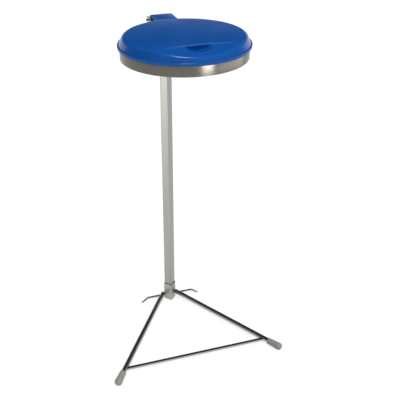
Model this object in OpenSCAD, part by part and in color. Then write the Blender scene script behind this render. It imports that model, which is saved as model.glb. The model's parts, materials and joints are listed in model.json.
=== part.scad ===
// Free-standing holder for a large waste bag.
// A square post stands in a sleeve on a base of round bars with two foot caps.
// Its head carries a steel ring for the bag and a hinged, moulded lid.
// Millimetres, +Z up, front towards -Y, base on z = 0.

/* [Post] */
// Side of the square post tube
post_side = 30; // [24:1:36]
// Wall of the post tube
post_wall = 2; // [1.5:0.5:4]
// Outer corner radius of the post tube
post_corner = 3; // [2:0.5:5]

/* [Sleeves] */
// Gap between the post and a sleeve, on each side
sleeve_gap = 0.2; // [0.1:0.05:0.4]
// Wall of both sleeves
sleeve_wall = 2.3; // [1.5:0.1:4]
// Height of the base sleeve
base_sleeve_h = 72; // [55:1:110]
// Height of the base sleeve's lower edge above the floor
base_sleeve_lift = 3; // [1:1:6]
// Height of the head sleeve under the bracket
head_sleeve_h = 80; // [50:1:120]

/* [Base bars] */
// Diameter of the two leg tubes
leg_d = 18; // [14:1:22]
// Wall of the leg tubes
leg_wall = 1.5; // [1:0.25:3]
// Distance of a leg's axis from the centre plane, level with the post
leg_rear_x = 32; // [31:0.5:38]
// Height of the leg axes and of the rear bar
leg_rear_z = 17; // [14:0.5:22]
// How far a leg tube runs behind the rear bar
leg_overrun = 11; // [8:1:16]
// Distance of a foot's centre from the centre plane
foot_x = 291; // [240:1:330]
// Distance of a foot's centre in front of the post
foot_y = 391; // [330:1:430]
// Diameter of the rear bar
rear_bar_d = 8; // [6:1:10]
// Half the straight length of the rear bar
rear_bar_half = 84; // [65:1:110]
// Angle by which the ends of the rear bar bend down
tip_angle = 38; // [30:1:50]
// Bend radius of the rear bar, to its centreline
tip_bend_r = 16; // [12:1:24]
// Diameter of the front crossbar
crossbar_d = 12; // [8:1:14]
// Distance of the front crossbar in front of the post
crossbar_y = 342; // [280:1:350]
// Gap left at each welded seat
weld_gap = 0.2; // [0.1:0.05:0.3]

/* [Foot caps] */
// Largest diameter of a foot cap
cap_d = 26; // [24:0.5:32]
// Diameter of a foot cap at its mouth
cap_mouth_d = 22.5; // [21:0.5:23.5]
// Length of a foot cap
cap_length = 54; // [44:1:70]
// Solid end of a foot cap beyond the leg tube
cap_end = 12; // [8:1:16]
// Length of a foot cap's thickest part, ahead of its rounded nose
cap_belly = 9; // [6:0.5:14]
// Share of a foot cap's radius that its nose is rounded by
cap_nose = 0.75; // [0.6:0.05:0.9]
// Length of the step at each end of a foot cap's neck
cap_step = 3; // [2:0.5:4]
// Height of the sole's flat above the cap's full round
cap_flat = 0.5; // [0.3:0.1:1]
// Gap between a leg tube and its cap
cap_gap = 0.1; // [0.05:0.05:0.2]

/* [Clamping screws] */
// Thread diameter of the clamping screws
screw_d = 8; // [6:1:10]
// Width across the flats of screw heads and nuts
hex_flats = 13; // [12:0.5:17]
// Height of a screw head
screw_head_h = 5.3; // [4:0.1:7]
// Height of a weld nut
nut_h = 6.5; // [5:0.5:9]
// Room between a nut and the underside of its screw's head
head_room = 2.5; // [1:0.5:5]
// Gap around a screw in its nut
screw_gap = 0.1; // [0.05:0.05:0.2]

/* [Bag ring] */
// Outer diameter of the bag ring
ring_d = 373; // [340:1:400]
// Thickness of the ring's strip
ring_wall = 1.5; // [1:0.25:3]
// Height of the ring's strip
ring_h = 36.5; // [28:0.5:50]
// Height of the ring's lower edge above the floor
ring_z = 1049; // [850:1:1150]
// Number of rest tabs inside the ring
tab_count = 4; // [3:1:6]
// Width of a rest tab
tab_w = 14; // [8:1:20]
// Reach of a rest tab towards the ring's centre
tab_reach = 8; // [7:1:12]
// Thickness of a rest tab
tab_t = 2; // [1:0.5:3]
// Height of the rest tabs above the ring's lower edge
tab_z = 8; // [4:1:14]

/* [Clamp hoop] */
// Wire diameter of the loose hoop that traps the bag
hoop_wire = 6; // [4:0.5:8]
// Gap for the bag's film between hoop and ring
film_gap = 0.6; // [0.3:0.1:2]
// Gap between the hoop and its rest tabs
hoop_seat = 0.2; // [0.1:0.1:0.3]

/* [Hinge bracket] */
// Sheet thickness of the bracket
bracket_t = 3; // [2:0.5:4]
// Inner bend radius of the bracket
bracket_bend = 2; // [1:0.5:3]
// Depth of the bracket's floor below the hinge pin
floor_drop = 21; // [20:0.5:28]
// Radius of the ears around the hinge pin
ear_r = 11; // [9:0.5:14]
// Distance behind the lid's lip at which the cheeks rise to their ears
cheek_rise = 4; // [2:0.5:8]
// Gap between the low front edge of the cheeks and the lid's lip
cheek_gap = 1.5; // [1:0.25:3]
// Gap between the lid's hinge tongue and the bracket's rear web
web_gap = 2; // [1:0.5:4]
// Gap kept between the open lid and its stop
stop_gap = 0.3; // [0.2:0.1:1]
// Opening angle of the lid at its stop
lid_open = 100; // [96:1:105]

/* [Hinge pin] */
// Diameter of the hinge pin
pin_d = 8; // [6:0.5:10]
// Radial clearance of the hinge pin in its bores
pin_gap = 0.08; // [0.03:0.01:0.1]
// Distance of the hinge pin behind the post's axis
pin_y = 40; // [38:1:50]
// Head diameter of the hinge pin
pin_head_d = 13; // [11:0.5:16]
// Head height of the hinge pin
pin_head_h = 3; // [2:0.5:4]
// Length of pin that stands out for the split pin
pin_tail = 11; // [8:1:16]
// Thickness of the hinge washers
washer_t = 1; // [0.8:0.1:2]
// Outer diameter of the hinge washers
washer_d = 17; // [14:1:20]
// Side play on each face of a washer
side_play = 0.15; // [0.1:0.05:0.3]
// Wire diameter of the split pin
split_d = 2; // [1.5:0.25:3]
// Height of the split pin above the hinge pin's axis
split_rise = 12; // [9:0.5:16]
// How far the split pin's legs stand out below the hinge pin
split_leg = 5; // [3:0.5:8]

/* [Lid] */
// Outer diameter of the lid's lip
lid_d = 386; // [384:1:420]
// Wall of the moulded lid
lid_wall = 2.5; // [2:0.25:3.5]
// Height of the lip
lip_h = 8.5; // [7.5:0.5:12]
// How far the lip overlaps the ring
lip_lap = 5.7; // [3:0.1:6]
// Gap between the lid's ledge and the ring's upper edge
lid_seat = 0.3; // [0.2:0.1:1]
// Width of the ledge above the lip
ledge_w = 5.5; // [4.5:0.25:7]
// Height of the lid's edge above the lip's lower edge
lid_edge_h = 33; // [28:1:45]
// How far the wall of the lid leans inwards
wall_lean = 5; // [2:0.5:10]
// Radius of the lid's rounded shoulder
shoulder_r = 14; // [8:1:18]
// Rise of the lid's crown above its shoulder
crown_h = 3; // [1:0.5:8]
// Radius of the locating rib under the lid
rib_r = 172; // [150:1:175]
// Thickness of the locating rib
rib_t = 2.5; // [2:0.25:4]
// Height of the locating rib's lower edge above the lip's lower edge
rib_z = 6; // [4:1:12]

// Height of the fillet between the ledge and the wall
foot_rise = 1.5; // [1:0.25:3]

/* [Lid grip] */
// Distance of the crease from the lid's centre
crease_y = 116; // [100:1:130]
// Slope of the front facet
facet_angle = 12; // [8:1:16]
// Width of the finger recess
recess_w = 76; // [50:1:84]
// Depth of the finger recess
recess_depth = 13; // [8:0.5:15]
// Angle by which the recess's back wall runs back under the crease
recess_under = 30; // [10:1:40]
// Distance of the recess in front of the crease
recess_back = 5; // [3:1:12]
// Radius, in plan, of the round front edge of the facet
facet_rim_r = 230; // [200:5:300]
// Room between that edge's flare and the wall
facet_clear = 0.3; // [0.2:0.1:0.6]

/* [Lid hinge tongue] */
// Width of the hinge tongue
tongue_w = 69; // [60:1:80]
// Radius of the tongue's round end about the hinge pin
tongue_r = 15; // [13:0.5:17]

/* [Hidden] */

// Small overlap that makes cuts and unions clean
eps = 0.01;
// Length that reaches past every piece in a cut
far = 500;

// Sleeve section
sleeve_bore = post_side + 2 * sleeve_gap;
sleeve_side = sleeve_bore + 2 * sleeve_wall;
sleeve_corner = post_corner + sleeve_gap + sleeve_wall;
// The post stands with one corner to the front
post_turn = 45;
sleeve_nose = (sleeve_side / 2 - sleeve_corner) * sqrt(2) + sleeve_corner;

// The ring's back is welded to the front corner of the head sleeve
ring_r = ring_d / 2;
ring_y = -(sleeve_nose + weld_gap + ring_r);
ring_top = ring_z + ring_h;
lip_z = ring_top + lid_seat - lip_lap;
lid_r = lid_d / 2;
ledge_z = lip_z + lip_h;
wall_r = lid_r - ledge_w;
edge_z = lip_z + lid_edge_h;
flat_r = wall_r - wall_lean - shoulder_r;
// Height of the crown where the crease crosses the centre plane
crease_z = edge_z + crown_h * (1 - pow(crease_y / flat_r, 2));
// The straight wall runs into the round shoulder without a kink: this is how far it leans
foot_z_in = ledge_z + foot_rise;
foot_dz = foot_z_in - (edge_z - shoulder_r);
foot_dr = wall_r - flat_r;
wall_turn = atan2(foot_dz, foot_dr) + acos(shoulder_r / norm([foot_dr, foot_dz]));
// Radius at which the front facet meets the wall, in the centre plane
facet_r = (wall_r - (crease_z - foot_z_in + crease_y * tan(facet_angle)) * tan(wall_turn))
          / (1 - tan(facet_angle) * tan(wall_turn));

// Hinge
pin_r = pin_d / 2;
pin_z = lip_z + tongue_r;
tongue_top = pin_z + tongue_r;
bracket_in = tongue_w / 2 + washer_t + 2 * side_play;
bracket_out = bracket_in + bracket_t;
floor_top = pin_z - floor_drop;
floor_z = floor_top - bracket_t;
web_y = pin_y + tongue_r + web_gap;
rear_y = web_y + bracket_t;
// Where the straight edge of a cheek meets the round of its ear
ear_turn = 41;
// Height above the pin at which the open tongue meets the web
stop_run = (tongue_r + web_gap - tongue_r * sin(lid_open)) / -cos(lid_open);
web_top = pin_z + tongue_r * cos(lid_open) + stop_run * sin(lid_open) - stop_gap;

// Post ends: on the rear bar below, under the bracket's floor above
post_bottom = leg_rear_z + rear_bar_d / 2 + weld_gap;
post_top = floor_z - weld_gap;

// Legs and feet
foot_z = cap_d / 2 - cap_flat;
foot_dx = foot_x - leg_rear_x;
leg_run = sqrt(foot_dx * foot_dx + foot_y * foot_y);
leg_turn = atan2(-foot_y, foot_dx);
leg_dip = atan2(leg_rear_z - foot_z, leg_run);
leg_length = norm([foot_dx, foot_y, leg_rear_z - foot_z]);
crossbar_z = leg_rear_z - (leg_rear_z - foot_z) * crossbar_y / foot_y;
crossbar_half = leg_rear_x + foot_dx * crossbar_y / foot_y;

// Screws sit on the rear right face of the sleeves
base_screw_z = base_sleeve_lift + base_sleeve_h * 0.68;
head_screw_z = floor_z - head_sleeve_h * 0.5;

// The model stands with its bounding box centred on the origin
front_reach = max(foot_y + cap_d / 2, lid_r - ring_y);
shift_y = (front_reach - rear_y) / 2;

galvanised = [0.70, 0.71, 0.68];
zinc = [0.78, 0.79, 0.80];
steel = [0.62, 0.61, 0.58];
plastic_grey = [0.59, 0.60, 0.57];
lid_blue = [0.07, 0.30, 0.59];

// Square with rounded corners, centred
module round_square(side, corner) {
    inner = side / 2 - corner;
    square([side, 2 * inner], center = true);
    square([2 * inner, side], center = true);
    for (x = [-inner, inner], y = [-inner, inner])
        translate([x, y]) circle(r = corner, $fn = 32);
}

// Square tube with round corners, one corner to the front
module corner_tube(side, wall, corner, low, high) {
    translate([0, 0, low]) rotate([0, 0, post_turn])
        linear_extrude(height = high - low)
            difference() {
                round_square(side, corner);
                round_square(side - 2 * wall, max(corner - wall, 0.5));
            }
}

// Places children on a leg's axis: +Z runs from the rear bar to the foot
module on_leg(side) {
    mirror([side < 0 ? 1 : 0, 0, 0])
        translate([leg_rear_x, 0, leg_rear_z])
            rotate([0, 0, leg_turn]) rotate([0, 90 + leg_dip, 0])
                children();
}

// Places children on the rear right face of a sleeve: +Z points outwards
module on_sleeve_face(height) {
    translate([0, 0, height]) rotate([0, 0, post_turn]) rotate([0, 90, 0])
        translate([0, 0, sleeve_side / 2])
            children();
}

// Bore along X through the base at the rear bar
module rear_bar_bore() {
    translate([-far / 2, 0, leg_rear_z]) rotate([0, 90, 0])
        cylinder(d = rear_bar_d + 2 * weld_gap, h = far, $fn = 48);
}

// Solid outer envelope of a sleeve, larger by a gap
module sleeve_envelope(gap, low, high) {
    translate([0, 0, low]) rotate([0, 0, post_turn])
        linear_extrude(height = high - low)
            round_square(sleeve_side + 2 * gap, sleeve_corner + gap);
}

module base_sleeve() color(galvanised) {
    difference() {
        corner_tube(sleeve_side, sleeve_wall, sleeve_corner,
                    base_sleeve_lift, base_sleeve_lift + base_sleeve_h);
        rear_bar_bore();
        on_sleeve_face(base_screw_z)
            translate([0, 0, -sleeve_side / 2])
                cylinder(d = screw_d + 4 * screw_gap, h = far, $fn = 48);
    }
}

// Bend and slanting tip at the right end of the rear bar
module rear_bar_end() {
    drop = tip_bend_r * (1 - cos(tip_angle));
    wedge = 4 * tip_bend_r;
    translate([rear_bar_half, 0, leg_rear_z]) rotate([90, 0, 0]) {
        translate([0, -tip_bend_r, 0]) intersection() {
            rotate_extrude($fn = 96) translate([tip_bend_r, 0]) circle(d = rear_bar_d, $fn = 48);
            linear_extrude(height = 2 * rear_bar_d, center = true)
                polygon([[0, 0], [0, wedge], [wedge * sin(tip_angle), wedge * cos(tip_angle)]]);
        }
        translate([tip_bend_r * sin(tip_angle), -drop, 0]) rotate([0, 90, -tip_angle])
            cylinder(d = rear_bar_d, h = (leg_rear_z - drop) / sin(tip_angle) + rear_bar_d, $fn = 48);
    }
}

module rear_bar() color(zinc) {
    difference() {
        union() {
            translate([-rear_bar_half, 0, leg_rear_z]) rotate([0, 90, 0])
                cylinder(d = rear_bar_d, h = 2 * rear_bar_half, $fn = 48);
            rear_bar_end();
            mirror([1, 0, 0]) rear_bar_end();
        }
        translate([-far, -far, -far]) cube([2 * far, 2 * far, far]);
    }
}

module leg(side) color(zinc) {
    difference() {
        on_leg(side) translate([0, 0, -leg_overrun]) difference() {
            cylinder(d = leg_d, h = leg_length + leg_overrun, $fn = 48);
            translate([0, 0, -eps])
                cylinder(d = leg_d - 2 * leg_wall, h = far + leg_length, $fn = 48);
        }
        rear_bar_bore();
        sleeve_envelope(weld_gap, 0, base_sleeve_h);
    }
}

module leg_left() leg(-1);

module leg_right() leg(1);

module front_crossbar() color(zinc) {
    difference() {
        translate([-crossbar_half, -crossbar_y, crossbar_z]) rotate([0, 90, 0])
            cylinder(d = crossbar_d, h = 2 * crossbar_half, $fn = 32);
        for (side = [-1, 1])
            on_leg(side)
                cylinder(d = leg_d + 2 * weld_gap, h = leg_length + far, $fn = 48);
    }
}

// Half section of a foot cap: x is the radius, y runs from mouth to end
module cap_section() {
    bulb_r = cap_d / 2;
    mouth_r = cap_mouth_d / 2;
    nose_r = bulb_r * cap_nose;
    bead_y = cap_length - nose_r - cap_belly;
    difference() {
        union() {
            polygon([[0, 0], [mouth_r, 0], [mouth_r + cap_gap, cap_step],
                     [(mouth_r + 2 * bulb_r) / 3, bead_y - cap_step], [bulb_r, bead_y],
                     [bulb_r, cap_length - nose_r], [0, cap_length - nose_r]]);
            intersection() {
                translate([bulb_r - nose_r, cap_length - nose_r])
                    circle(r = nose_r, $fn = 48);
                square([bulb_r, cap_length]);
            }
            square([bulb_r - nose_r, cap_length]);
        }
        translate([-eps, -eps])
            square([leg_d / 2 + cap_gap + eps, cap_length - cap_end + eps]);
    }
}

module foot_cap(side) color(plastic_grey) {
    difference() {
        on_leg(side)
            translate([0, 0, leg_length + cap_end - cap_length])
                rotate_extrude($fn = 64) cap_section();
        translate([-far, -2 * far, -far]) cube([2 * far, 2 * far, far]);
    }
}

module foot_cap_left() foot_cap(-1);

module foot_cap_right() foot_cap(1);

module post() color(galvanised) {
    corner_tube(post_side, post_wall, post_corner, post_bottom, post_top);
}

module head_sleeve() color(galvanised) {
    difference() {
        corner_tube(sleeve_side, sleeve_wall, sleeve_corner,
                    floor_z - head_sleeve_h, floor_z);
        on_sleeve_face(head_screw_z)
            translate([0, 0, -sleeve_side / 2])
                cylinder(d = screw_d + 4 * screw_gap, h = far, $fn = 48);
    }
}

// Hexagon of a given width across its flats
module hexagon(flats, height) {
    cylinder(d = flats / cos(30), h = height, $fn = 6);
}

module weld_nuts() color(steel) {
    for (height = [base_screw_z, head_screw_z])
        on_sleeve_face(height) difference() {
            hexagon(hex_flats, nut_h);
            translate([0, 0, -eps])
                cylinder(d = screw_d + 2 * screw_gap, h = nut_h + 2 * eps, $fn = 48);
        }
}

module clamp_screws() color(steel) {
    tip = -sleeve_wall - sleeve_gap + weld_gap / 2;
    for (height = [base_screw_z, head_screw_z])
        on_sleeve_face(height) {
            translate([0, 0, tip])
                cylinder(d = screw_d, h = nut_h + head_room - tip, $fn = 48);
            translate([0, 0, nut_h + head_room - eps])
                hexagon(hex_flats, screw_head_h);
        }
}

module ring_band() color(steel) {
    translate([0, ring_y, ring_z]) {
        difference() {
            cylinder(r = ring_r, h = ring_h, $fn = 180);
            translate([0, 0, -eps])
                cylinder(r = ring_r - ring_wall, h = ring_h + 2 * eps, $fn = 180);
        }
        for (k = [0 : tab_count - 1])
            rotate([0, 0, 45 + k * 360 / tab_count])
                intersection() {
                    translate([ring_r - ring_wall - tab_reach, -tab_w / 2, tab_z])
                        cube([tab_reach + ring_wall, tab_w, tab_t]);
                    cylinder(r = ring_r - ring_wall / 2, h = ring_h, $fn = 180);
                }
    }
}

module clamp_hoop() color(zinc) {
    hoop_r = ring_r - ring_wall - film_gap - hoop_wire / 2;
    translate([0, ring_y, ring_z + tab_z + tab_t + hoop_seat + hoop_wire / 2])
        rotate_extrude($fn = 180) translate([hoop_r, 0]) circle(d = hoop_wire, $fn = 32);
}

// Channel section of the bracket: floor and two upright cheeks, round bends
module channel_section(height) {
    bend_out = bracket_bend + bracket_t;
    difference() {
        union() {
            translate([-bracket_out, bend_out]) square([2 * bracket_out, height - bend_out]);
            translate([-bracket_out + bend_out, 0])
                square([2 * (bracket_out - bend_out), height]);
            for (x = [-bracket_out + bend_out, bracket_out - bend_out])
                translate([x, bend_out]) circle(r = bend_out, $fn = 48);
        }
        translate([-bracket_in, bend_out]) square([2 * bracket_in, height]);
        translate([-bracket_in + bracket_bend, bracket_t])
            square([2 * (bracket_in - bracket_bend), height]);
        for (x = [-bracket_in + bracket_bend, bracket_in - bracket_bend])
            translate([x, bend_out]) circle(r = bracket_bend, $fn = 48);
    }
}

// Side outline of a cheek: low at the ring, an ear around the pin
module cheek_outline() {
    low_top = lip_z - cheek_gap;
    rise_y = ring_y + lid_r + cheek_rise;
    polygon([[ring_y + ring_r * 0.8, floor_z], [rear_y, floor_z],
             [rear_y - bracket_t - 1, floor_z + bracket_t + bracket_bend],
             [pin_y + ear_r, pin_z],
             [pin_y - ear_r * cos(ear_turn), pin_z + ear_r * sin(ear_turn)],
             [rise_y, low_top], [ring_y + ring_r * 0.8, low_top]]);
    translate([pin_y, pin_z]) circle(r = ear_r, $fn = 48);
}

// Side outline of the rear web: floor strip and upright web, round bend
module web_outline() {
    bend_out = bracket_bend + bracket_t;
    difference() {
        union() {
            translate([pin_y, floor_z]) square([rear_y - bend_out - pin_y, bracket_t]);
            translate([web_y, floor_z + bend_out])
                square([bracket_t, web_top - floor_z - bend_out]);
            intersection() {
                translate([rear_y - bend_out, floor_z + bend_out])
                    circle(r = bend_out, $fn = 48);
                translate([rear_y - bend_out, floor_z]) square([bend_out, bend_out]);
            }
        }
        translate([rear_y - bend_out, floor_z + bend_out])
            circle(r = bracket_bend, $fn = 48);
    }
}

// Turns an outline drawn in (y, z) into a slab centred on the plane x = 0
module side_slab(width) {
    translate([-width / 2, 0, 0]) rotate([90, 0, 90])
        linear_extrude(height = width) children();
}

module hinge_bracket() color(galvanised) {
    web_width = 2 * (bracket_in - bracket_bend - 1);
    difference() {
        union() {
            intersection() {
                translate([0, web_y - 1, floor_z]) rotate([90, 0, 0])
                    linear_extrude(height = web_y - 1 - ring_y)
                        channel_section(pin_z + 2 * ear_r - floor_z);
                side_slab(2 * bracket_out + 2) cheek_outline();
            }
            side_slab(web_width) web_outline();
        }
        translate([0, ring_y, 0])
            cylinder(r = ring_r + weld_gap, h = 2 * ring_top, $fn = 180);
        translate([-far / 2, pin_y, pin_z]) rotate([0, 90, 0])
            cylinder(r = pin_r + pin_gap, h = far, $fn = 64);
    }
}

module hinge_pin() color(zinc) {
    grip = bracket_out + side_play;
    translate([0, pin_y, pin_z]) rotate([0, 90, 0])
        difference() {
            union() {
                translate([0, 0, -grip - pin_tail])
                    cylinder(r = pin_r, h = 2 * grip + pin_tail + eps, $fn = 64);
                translate([0, 0, grip]) cylinder(d = pin_head_d, h = pin_head_h, $fn = 48);
            }
            translate([far / 2, 0, -grip - pin_tail / 2]) rotate([0, -90, 0])
                cylinder(d = split_d + 2 * screw_gap, h = far, $fn = 32);
        }
}

module hinge_washers() color(steel) {
    for (side = [-1, 1])
        translate([side * (tongue_w / 2 + side_play + washer_t / 2), pin_y, pin_z])
            rotate([0, 90, 0]) difference() {
                cylinder(d = washer_d, h = washer_t, center = true, $fn = 48);
                cylinder(r = pin_r + pin_gap, h = 2 * washer_t, center = true, $fn = 64);
            }
}

module split_pin() color(steel) {
    eye_r = split_d * 1.3;
    stem = split_rise - 2 * eye_r;
    translate([-bracket_out - side_play - pin_tail / 2, pin_y, pin_z]) {
        translate([0, 0, -pin_r - split_leg])
            cylinder(d = split_d, h = pin_r + split_leg + stem, $fn = 24);
        translate([0, 0, stem + eye_r - split_d / 4]) rotate([90, 0, 0])
            rotate_extrude($fn = 48) translate([eye_r, 0]) circle(d = split_d, $fn = 24);
    }
}

// Half outline of the lid, x is the radius; an inset of one wall gives the hollow.
function shoulder(inset) = [
    for (a = [wall_turn : (86 - wall_turn) / 8 : 86])
        [flat_r + (shoulder_r - inset) * cos(a),
         edge_z - shoulder_r + (shoulder_r - inset) * sin(a)]
];
function crown(inset) = [
    for (k = [0 : 1 : 6])
        let (s = 1 - k / 6)
        [flat_r * s, edge_z - inset + crown_h * (1 - s * s)]
];

module lid_outer_section() {
    polygon(concat([[0, lip_z], [lid_r - 1, lip_z], [lid_r, lip_z + 1],
                    [lid_r, ledge_z - 2], [lid_r - 0.6, ledge_z - 0.6],
                    [lid_r - 2, ledge_z], [wall_r + 1, ledge_z + 0.5],
                    [wall_r, foot_z_in]],
                   shoulder(0), crown(0)));
}

module lid_inner_section() {
    ledge_in = wall_r - lid_wall;
    polygon(concat([[0, lip_z - 1], [lid_r - lid_wall, lip_z - 1],
                    [lid_r - lid_wall, ring_top + lid_seat],
                    [ledge_in, ring_top + lid_seat]],
                   shoulder(lid_wall), crown(lid_wall)));
}

// Half outline of what lies under the front facet: a wide disc whose rim is rounded like
// the shoulder and then flares out along the wall
function facet_outline(inset) =
    let (lean = wall_turn + facet_angle,
         centre_r = facet_rim_r + facet_clear - shoulder_r * (1 - sin(lean)) / cos(lean),
         flare = far / 2)
    concat([[0, -flare], [0, -inset]],
           [for (k = [0 : 8])
               let (a = 90 - (90 - lean) * k / 8)
               [centre_r + (shoulder_r - inset) * cos(a),
                -shoulder_r + (shoulder_r - inset) * sin(a)]],
           [[centre_r + shoulder_r * cos(lean) + flare * tan(lean), -flare]]);

// Everything under the sloping front facet, lowered by an inset
module facet_body(inset) {
    translate([0, ring_y - crease_y, crease_z])
        rotate([facet_angle, 0, 0])
            translate([0, facet_rim_r - (facet_r - crease_y) / cos(facet_angle), 0])
                rotate_extrude($fn = 180) polygon(facet_outline(inset));
}

// Scoop of the finger recess, larger by an inset
module recess_cut(inset) {
    recess_r = recess_w / 2;
    ball_r = (recess_r * recess_r + recess_depth * recess_depth) / (2 * recess_depth);
    drop = recess_back * tan(facet_angle);
    translate([0, ring_y - crease_y - recess_back, crease_z - drop])
        intersection() {
            rotate([facet_angle, 0, 0]) translate([0, 0, ball_r - recess_depth])
                sphere(r = ball_r + inset, $fn = 72);
            rotate([recess_under, 0, 0])
                translate([-far, -2 * far + inset, -far]) cube([2 * far, 2 * far, 2 * far]);
        }
}

module lid_outer() {
    difference() {
        intersection() {
            translate([0, ring_y, 0]) rotate_extrude($fn = 180) lid_outer_section();
            facet_body(0);
        }
        recess_cut(0);
    }
}

module lid_hollow() {
    difference() {
        intersection() {
            translate([0, ring_y, 0]) rotate_extrude($fn = 180) lid_inner_section();
            facet_body(lid_wall);
        }
        recess_cut(lid_wall);
        difference() {
            translate([0, ring_y, lip_z + rib_z])
                cylinder(r = rib_r, h = lid_edge_h, $fn = 180);
            translate([0, ring_y, lip_z + rib_z - eps])
                cylinder(r = rib_r - rib_t, h = lid_edge_h + 1, $fn = 180);
        }
    }
}

// Side outline of the hinge tongue, smaller by an inset
module tongue_outline(inset) {
    front_y = ring_y + wall_r * 0.8;
    translate([pin_y, pin_z]) circle(r = tongue_r - inset, $fn = 64);
    translate([front_y, lip_z - inset])
        square([pin_y - front_y, tongue_top - lip_z]);
}

module tongue() {
    difference() {
        side_slab(tongue_w) tongue_outline(0);
        side_slab(tongue_w - 2 * lid_wall) tongue_outline(lid_wall);
        translate([0, ring_y, 0]) rotate_extrude($fn = 180) lid_inner_section();
        translate([-far / 2, pin_y, pin_z]) rotate([0, 90, 0])
            cylinder(r = pin_r + pin_gap, h = far, $fn = 64);
    }
}

module lid() color(lid_blue) {
    difference() {
        lid_outer();
        lid_hollow();
    }
    tongue();
}

module placed() {
    translate([0, shift_y, 0]) children();
}

placed() base_sleeve();
placed() rear_bar();
placed() leg_left();
placed() leg_right();
placed() front_crossbar();
placed() foot_cap_left();
placed() foot_cap_right();
placed() post();
placed() head_sleeve();
placed() hinge_bracket();
placed() weld_nuts();
placed() clamp_screws();
placed() ring_band();
placed() clamp_hoop();
placed() hinge_pin();
placed() hinge_washers();
placed() split_pin();
placed() lid();
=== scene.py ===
# %% [markdown]
# A free-standing holder for a large waste bag: a square post on a bar base carries
# a steel ring, and a moulded lid is hinged behind it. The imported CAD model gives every
# piece its size and place. These cells give the pieces their finish, and remake the
# lid, whose soft shapes need a finer surface than the construction model has.

import json
import math

import bmesh
import bpy
from mathutils import Matrix, Vector
from mathutils.bvhtree import BVHTree

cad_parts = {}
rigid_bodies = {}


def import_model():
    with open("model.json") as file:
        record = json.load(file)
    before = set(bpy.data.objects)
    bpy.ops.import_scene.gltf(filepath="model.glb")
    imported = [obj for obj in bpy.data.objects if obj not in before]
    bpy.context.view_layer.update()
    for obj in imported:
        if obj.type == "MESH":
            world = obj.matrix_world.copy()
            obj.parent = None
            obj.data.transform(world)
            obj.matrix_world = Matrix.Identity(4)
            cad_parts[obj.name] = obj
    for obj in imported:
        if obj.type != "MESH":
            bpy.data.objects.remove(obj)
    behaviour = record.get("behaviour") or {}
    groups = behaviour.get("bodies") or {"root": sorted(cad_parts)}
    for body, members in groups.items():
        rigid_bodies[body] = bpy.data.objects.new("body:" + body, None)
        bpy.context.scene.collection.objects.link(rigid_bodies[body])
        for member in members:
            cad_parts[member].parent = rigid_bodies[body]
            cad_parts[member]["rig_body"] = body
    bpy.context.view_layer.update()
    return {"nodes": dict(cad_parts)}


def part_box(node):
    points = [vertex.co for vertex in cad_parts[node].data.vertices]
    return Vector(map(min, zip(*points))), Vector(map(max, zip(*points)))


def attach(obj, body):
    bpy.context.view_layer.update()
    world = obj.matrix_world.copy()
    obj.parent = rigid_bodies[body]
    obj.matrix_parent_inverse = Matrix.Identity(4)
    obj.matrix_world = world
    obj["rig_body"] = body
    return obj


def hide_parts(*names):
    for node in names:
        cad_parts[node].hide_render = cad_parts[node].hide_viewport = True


MM = 0.001

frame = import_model()


# %% [markdown]
# Colours are easiest to judge as they look on a screen, so they are written as sRGB
# hex values. A shader works in linear light, so one function converts them. The other
# helpers make what every cell needs: nodes, materials, colour ramps and pieces.

# %% Helpers
def linear(hex_code):
    """An sRGB hex colour as linear RGBA."""
    parts = [int(hex_code[i:i + 2], 16) / 255 for i in (1, 3, 5)]
    return [p / 12.92 if p <= 0.04045 else ((p + 0.055) / 1.055) ** 2.4 for p in parts] + [1.0]


def add_node(tree, kind, settings=None, inputs=None, links=None):
    """Adds one node: its settings, the values of its inputs and the sockets linked to them."""
    made = tree.nodes.new(kind)
    for name, value in (settings or {}).items():
        setattr(made, name, value)
    for key, value in (inputs or {}).items():
        made.inputs[key].default_value = value
    for key, socket in (links or {}).items():
        tree.links.new(socket, made.inputs[key])
    return made


def new_material(name):
    """An empty node material with its output node."""
    material = bpy.data.materials.new(name)
    material.use_nodes = True
    material.node_tree.nodes.clear()
    output = add_node(material.node_tree, "ShaderNodeOutputMaterial")
    return material, material.node_tree, output


def two_tone(tree, value, start, end):
    """The colour of a ramp between two stops, each a position and a colour."""
    ramp = add_node(tree, "ShaderNodeValToRGB", links={"Fac": value})
    for stop, (position, colour) in zip(ramp.color_ramp.elements, (start, end)):
        stop.position = position
        stop.color = colour
    return ramp.outputs["Color"]


def new_piece(name, mesh):
    """Adds a mesh to the scene as an object."""
    piece = bpy.data.objects.new(name, mesh)
    bpy.context.scene.collection.objects.link(piece)
    return piece


def mesh_from(work, name):
    """Turns a finished bmesh into a mesh."""
    mesh = bpy.data.meshes.new(name)
    work.to_mesh(mesh)
    work.free()
    return mesh


# %% [markdown]
# The camera repeats the photograph's viewpoint: in front, a little to the left and
# about thirty degrees above. It looks at a point on the post, from two and a quarter
# metres. The lens is worked out from a focal length in pixels of a 400-pixel frame,
# and a small shift puts the optical axis where the photograph has it.

# %% Camera
IMAGE_PX = 400
FOCAL_PX = 626
CENTRE_PX = (168, 195)
VIEW_AZIMUTH = math.radians(-15.3)
VIEW_PITCH = math.radians(30.0)
VIEW_ROLL = math.radians(-1.08)
VIEW_DISTANCE = 2.268
AIM_HEIGHT = 0.4705
SENSOR_MM = 36

post_low, post_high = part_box("post")
post_axis = (post_low + post_high) / 2
aim = Vector((post_axis.x, post_axis.y, AIM_HEIGHT))
back = Vector((math.sin(VIEW_AZIMUTH) * math.cos(VIEW_PITCH),
               -math.cos(VIEW_AZIMUTH) * math.cos(VIEW_PITCH), math.sin(VIEW_PITCH)))
level = Vector((math.cos(VIEW_AZIMUTH), math.sin(VIEW_AZIMUTH), 0))
upright = back.cross(level)
right = level * math.cos(VIEW_ROLL) + upright * math.sin(VIEW_ROLL)
up = back.cross(right)

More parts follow.
